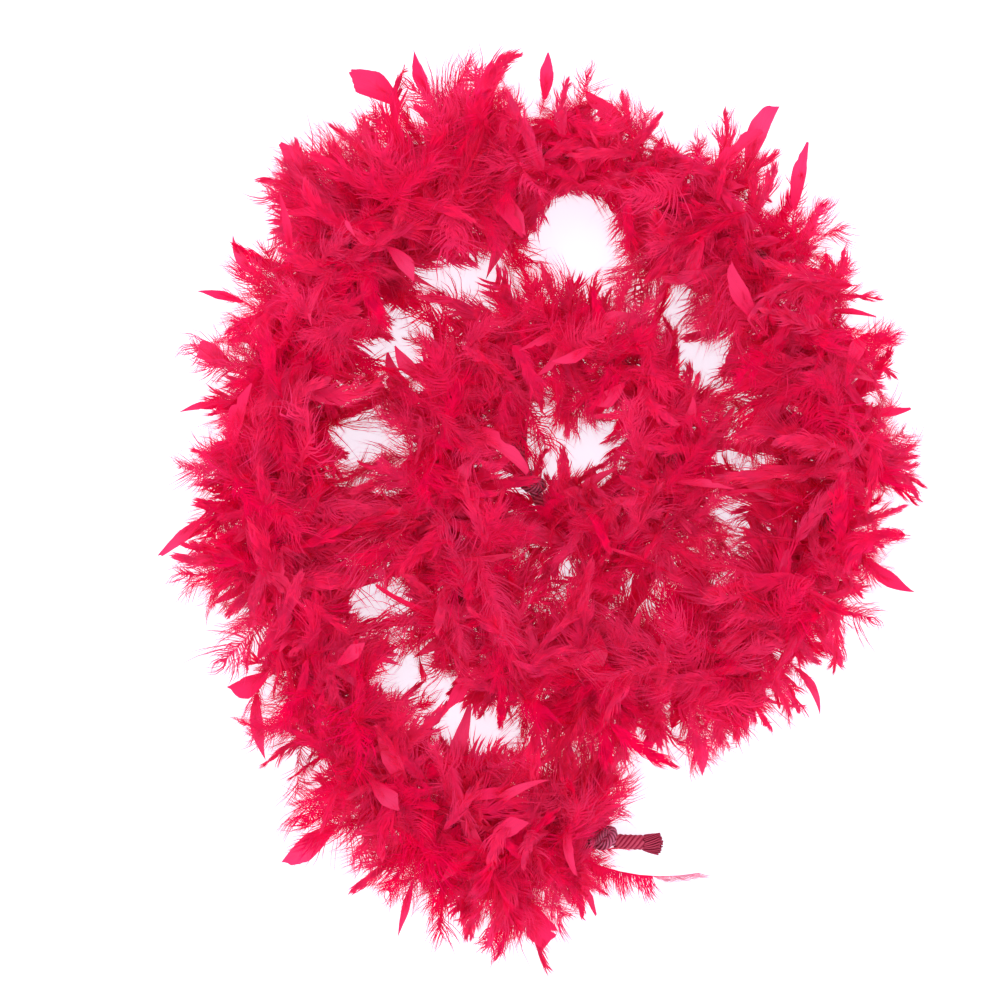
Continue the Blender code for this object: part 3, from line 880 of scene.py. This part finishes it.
# ---- yarn ----
# The strands are drawn coarser than real ones, which are too fine for their twist to show.
STRANDS, STRAND_SIDES = 6, 6
STRAND_LAY = 0.0026      # from the cord's middle to a strand's
STRAND_RADIUS = 0.00140
STRAND_PITCH = 0.019     # length of a full turn
STRAND_WOBBLE = 0.0      # the strands lie evenly: none strays from its place
CORE_SHARE = 0.72        # of the lay radius, filled by a hidden strand
CORD_STEP = 0.0018       # between a path's points
YARN_TILE = 0.020        # the yarn's pattern runs this far along a strand, then back
STUB_LOOSE = (1.2, 1.35)           # how far a stub has opened, by its knot and by its cut
STUB_OVERLAP = 0.002     # a stub reaches this far into its knot
KNOT_SQUEEZE = 0.80      # the cord is pulled this much thinner inside its knot
KNOT_HALF_WIDTH = 0.0021


def add_strand(pile, path, radius, outward, hidden=False):
    """A round strand along a path; outward points from the cord's middle at each point.
    A hidden one fills the cord's middle, and all of it has the painted shade of the grooves."""
    ways = unit(np.gradient(path, axis=0))
    out = unit(outward - ways * np.sum(outward * ways, axis=1, keepdims=True))
    beside = np.cross(ways, out)
    turns = 2 * math.pi * np.arange(STRAND_SIDES) / STRAND_SIDES + math.pi
    radius = np.broadcast_to(radius, len(path))[:, None, None]
    rings = path[:, None] + radius * (out[:, None] * np.cos(turns)[None, :, None]
                                      + beside[:, None] * np.sin(turns)[None, :, None])
    rings = np.concatenate([rings, rings[:, :1]], axis=1)
    there = np.abs((distances(path) / YARN_TILE) % 2 - 1)
    uv = np.stack(np.broadcast_arrays(np.linspace(0, 1, STRAND_SIDES + 1)[None],
                                      there[:, None]), -1)
    # painted shade: a hidden strand's U is 0, which gives it the deep groove colour all over
    uv = uv * [0.0 if hidden else 1.0, 1.0]
    wide = STRAND_SIDES + 1
    corner = (np.arange(len(path) - 1)[:, None] * wide + np.arange(STRAND_SIDES)).ravel()
    # both ends are closed round a middle point
    count = len(path) * wide
    start, end = np.arange(STRAND_SIDES), np.arange(STRAND_SIDES) + count - wide
    faces = np.vstack([np.stack([corner, corner + 1, corner + wide + 1], 1),
                       np.stack([corner, corner + wide + 1, corner + wide], 1),
                       np.stack([0 * start + count, start + 1, start], 1),
                       np.stack([0 * end + count + 1, end, end + 1], 1)])
    points = np.vstack([rings.reshape(-1, 3), path[:1], path[-1:]])
    uv = np.vstack([uv.reshape(-1, 2), [[0.5, 0.0], [0.5, 0.0]]])
    pile.add(points, faces, uv, np.zeros(len(faces), int))


def add_twist(pile, path, lay_radius, radius, pitch, flare=1.0):
    """Strands laid round a path.  flare scales the lay radius along it."""
    rng = np.random.default_rng(0)
    ways = unit(np.gradient(path, axis=0))
    across = unit(np.cross(ways, UP))
    over = np.cross(across, ways)
    wide = lay_radius * flare * np.ones(len(path))
    for k in range(STRANDS):
        place = (k + rng.normal(0.0, STRAND_WOBBLE)) / STRANDS
        turn = 2 * math.pi * place + 2 * math.pi * distances(path) / pitch
        outward = across * np.cos(turn)[:, None] + over * np.sin(turn)[:, None]
        add_strand(pile, path + outward * wide[:, None], radius * rng.uniform(0.92, 1.08),
                   outward)
    add_strand(pile, path, wide * CORE_SHARE, over, hidden=True)


def yarn_cord(name, first, last, loose=(1.0, 1.0)):
    """The twisted cord between two distances along it; loose is how many times wider the
    strands have opened at its start and end."""
    path = cord_at(np.linspace(first, last, max(12, round((last - first) / CORD_STEP))))
    pile = Pile()
    flare = np.linspace(*loose, len(path))
    add_twist(pile, path, STRAND_LAY, STRAND_RADIUS * flare[0], STRAND_PITCH, flare)
    item = pile.mesh(name, [yarn])
    return item, path


def overhand_knot(name, s, turn):
    """The cord crossing itself once and pulled tight, its middle at distance s."""
    along, out, up = cord_frame(s)
    # the curve of an open trefoil; its two ends are led back to the cord's middle
    t = np.linspace(-2.1, 2.1, 90)
    ends = np.clip((np.abs(t) - 1.75) / 0.35, 0, 1)
    forward = (t ** 3 - 3 * t) / 2.96 * (KNOT_LENGTH / 2)      # 2.96 is its value at the end
    aside = (t ** 4 - 4 * t ** 2 + 1.1) * KNOT_HALF_WIDTH * (1 - ends)
    above = (t ** 5 / 5 - 2 * t) * KNOT_HALF_WIDTH * (1 - ends)
    side = out * math.cos(turn) + up * math.sin(turn)
    top = up * math.cos(turn) - out * math.sin(turn)
    path = (cord_at(s) + forward[:, None] * along + aside[:, None] * side
            + above[:, None] * top)
    pile = Pile()
    add_twist(pile, path, STRAND_LAY * KNOT_SQUEEZE, STRAND_RADIUS * KNOT_SQUEEZE * 1.1,
              STRAND_PITCH * 0.8)
    item = pile.mesh(name, [glued])
    return item


# The cut end's strands in rings round its middle: share of its radius, count.
FRAY_RINGS = ((1.0, 24), (0.80, 19), (0.56, 13), (0.30, 7))
FRAY_START = 0.0046      # radius of the brush where it starts
FRAY_FLATNESS = 0.8      # its height as a share of its width
FRAY_RADIUS = 0.00058    # of one of its strands
FRAY_STEPS = 9


def frayed_end(name, first, last, seed):
    """The cut end: the strands part and spread into a brush with a rounded cut."""
    rng = np.random.default_rng(seed)
    path = cord_at(np.linspace(first, last, FRAY_STEPS))
    out, up = cord_frame((first + last) / 2)[1:]
    share = np.linspace(0, 1, FRAY_STEPS)
    spread = FRAY_START + (FLARE_DIAMETER / 2 - FRAY_START) * share ** 0.8
    pile = Pile()
    for ring, count in FRAY_RINGS:
        for k in range(count):
            turn = 2 * math.pi * (k + rng.normal(0.0, 0.15)) / count + 0.7 * share
            outward = (out * np.cos(turn)[:, None]
                       + up * (FRAY_FLATNESS * np.sin(turn))[:, None])
            # the outer strands were cut shorter
            cut = 1.0 - 0.08 * rng.random() - 0.30 * max(ring - 0.3, 0) ** 1.5
            places = path[:1] + (path - path[:1]) * cut
            add_strand(pile, places + outward * (ring * spread)[:, None],
                       FRAY_RADIUS * rng.uniform(0.8, 1.15), outward)
    item = pile.mesh(name, [yarn])
    return item


inner_knot = overhand_knot("yarn_inner_knot", KNOT_BACK, 0.4)
outer_knot = overhand_knot("yarn_outer_knot", LENGTH - KNOT_BACK, 0.5)
STUB_BACK = KNOT_BACK - KNOT_LENGTH / 2 + STUB_OVERLAP      # from a cut end to its knot
inner_stub = yarn_cord("yarn_inner_stub", FLARE_LENGTH, STUB_BACK, loose=STUB_LOOSE[::-1])[0]
outer_stub = yarn_cord("yarn_outer_stub", LENGTH - STUB_BACK, LENGTH - FLARE_LENGTH,
                       loose=STUB_LOOSE)[0]
inner_end = frayed_end("yarn_inner_cut_end", FLARE_LENGTH, 0.0, 7)
outer_end = frayed_end("yarn_outer_cut_end", LENGTH - FLARE_LENGTH, LENGTH, 8)
for end, body in (("inner", "coil"), ("outer", "tip")):
    for part in ("knot", "stub", "cut_end"):
        item = bpy.data.objects[f"yarn_{end}_{part}"]
        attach(item, body)
        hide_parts(f"{end}_{part}")

# The tail's cord is split halfway between its bends, so that each piece holds one bend.
SPLIT_BORDERS = (16, 18, 20, 22)
TIP_CORD = 0.050
splits = [PLUMES_START, *[borders[k] for k in SPLIT_BORDERS], PLUMES_END - TIP_CORD, PLUMES_END]
CORD_PIECES = [("yarn_coil", "cord_coil"), ("yarn_bend_1", "cord_tail_1"),
               ("yarn_bend_2", "cord_tail_2"), ("yarn_bend_3", "cord_tail_3"),
               ("yarn_bend_4", "cord_tip"), ("yarn_tip", None)]
LAST_PIECE = len(CORD_PIECES) - 1

for k, ((name, node), first, last) in enumerate(zip(CORD_PIECES, splits, splits[1:])):
    item, path = yarn_cord(name, first, last)
    if 0 < k < LAST_PIECE:
        blend_over(item)
    else:
        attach(item, "coil" if k == 0 else "tip")
    if node:
        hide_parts(node)

# ---- stage ----
FLOOR_SIZE = 8.0
DAYLIGHT = 1.20          # strength of the light from all round
# Paper lit from behind, as on a light table, so that hardly a shadow falls on it.
floor_material, tree = new_material("matt_white_paper")
paper = add_node(tree, "BsdfPrincipled",
                 [("Base Color", colour("b4b8c6")), ("Roughness", 0.9),
                  ("Specular IOR Level", 0.05), ("Emission Color", colour("f3f4ff")),
                  ("Emission Strength", 0.80)])
add_node(tree, "OutputMaterial", [("Surface", paper)])
bpy.ops.mesh.primitive_plane_add(size=FLOOR_SIZE, location=(0, 0, 0))
floor = bpy.context.active_object
floor.name = "studio_floor"
floor.data.materials.append(floor_material)

world = bpy.data.worlds.new("studio_light")
bpy.context.scene.world = world
world.use_nodes = True
sky = world.node_tree.nodes["Background"]
sky.inputs["Color"].default_value = (1.0, 0.99, 1.0, 1.0)
sky.inputs["Strength"].default_value = DAYLIGHT


def soft_box(name, place, size, power):
    """A square light that faces the middle of the boa, its power in watts."""
    light = bpy.data.lights.new(name, "AREA")
    light.shape, light.size = "SQUARE", size
    light.energy = power
    item = bpy.data.objects.new(name, light)
    item.location = place
    item.rotation_euler = (-Vector(place)).to_track_quat("-Z", "Y").to_euler()
    bpy.context.scene.collection.objects.link(item)


soft_box("key_soft_box", (-0.9, 0.9, 1.6), 1.2, 12.0)
soft_box("fill_soft_box", (1.2, -0.6, 1.5), 1.4, 6.0)

CAMERA_CENTRE = (-0.0235, -0.0006)
FRAME_WIDTH = 0.645      # what the view takes in at FRAME_HEIGHT
FRAME_HEIGHT = 0.035
LENS, SENSOR = 85.0, 36.0
camera_data = bpy.data.cameras.new("overhead_camera")
camera_data.lens, camera_data.sensor_width = LENS, SENSOR
camera = bpy.data.objects.new("overhead_camera", camera_data)
camera.location = (*CAMERA_CENTRE, FRAME_HEIGHT + FRAME_WIDTH * LENS / SENSOR)
camera.rotation_euler = (0.0, 0.0, 0.0)
bpy.context.scene.collection.objects.link(camera)
bpy.context.scene.camera = camera
bpy.context.scene.view_settings.view_transform = "Standard"
